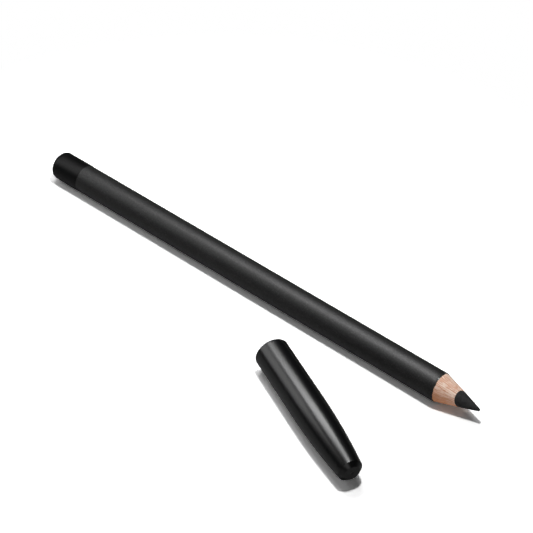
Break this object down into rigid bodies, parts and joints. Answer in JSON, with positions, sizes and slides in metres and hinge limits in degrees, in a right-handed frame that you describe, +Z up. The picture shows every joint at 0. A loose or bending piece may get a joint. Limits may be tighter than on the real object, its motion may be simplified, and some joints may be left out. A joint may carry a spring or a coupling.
{
  "type": "lip liner pencil",
  "caption": "Round wood-cased lip liner pencil with a sharpened soft core and a rounded dipped tail, lying beside its glossy pull-off cap.",
  "frame": {"origin": "bottom centre of the box round the pencil and its cap, on the surface that they lie on", "axes": "+X along the pencil from its tail to its tip, +Z up, +Y away from the side where the cap lies"},
  "size_m": [0.1378, 0.041, 0.0087],
  "materials": {
    "core": "soft waxy pigment, matt, near black",
    "wood": "bare sharpened cedar-like wood, fine lengthwise grain",
    "lacquer": "charcoal lacquer with a fine metallic fleck, satin",
    "end_dip": "black dipped coat, satin",
    "cap": "black moulded plastic, high gloss"
  },
  "bodies": {
    "pencil": {"core": "core", "upper_slat": "wood", "lower_slat": "wood", "lacquer": "lacquer", "end_dip": "end_dip"},
    "cap": {"cap": "cap"}
  },
  "joints": [
    {"name": "cap_lift", "type": "slide", "parent": "pencil", "child": "cap", "axis": [0, 0, 1], "range_m": [0, 0.02]}
  ]
}
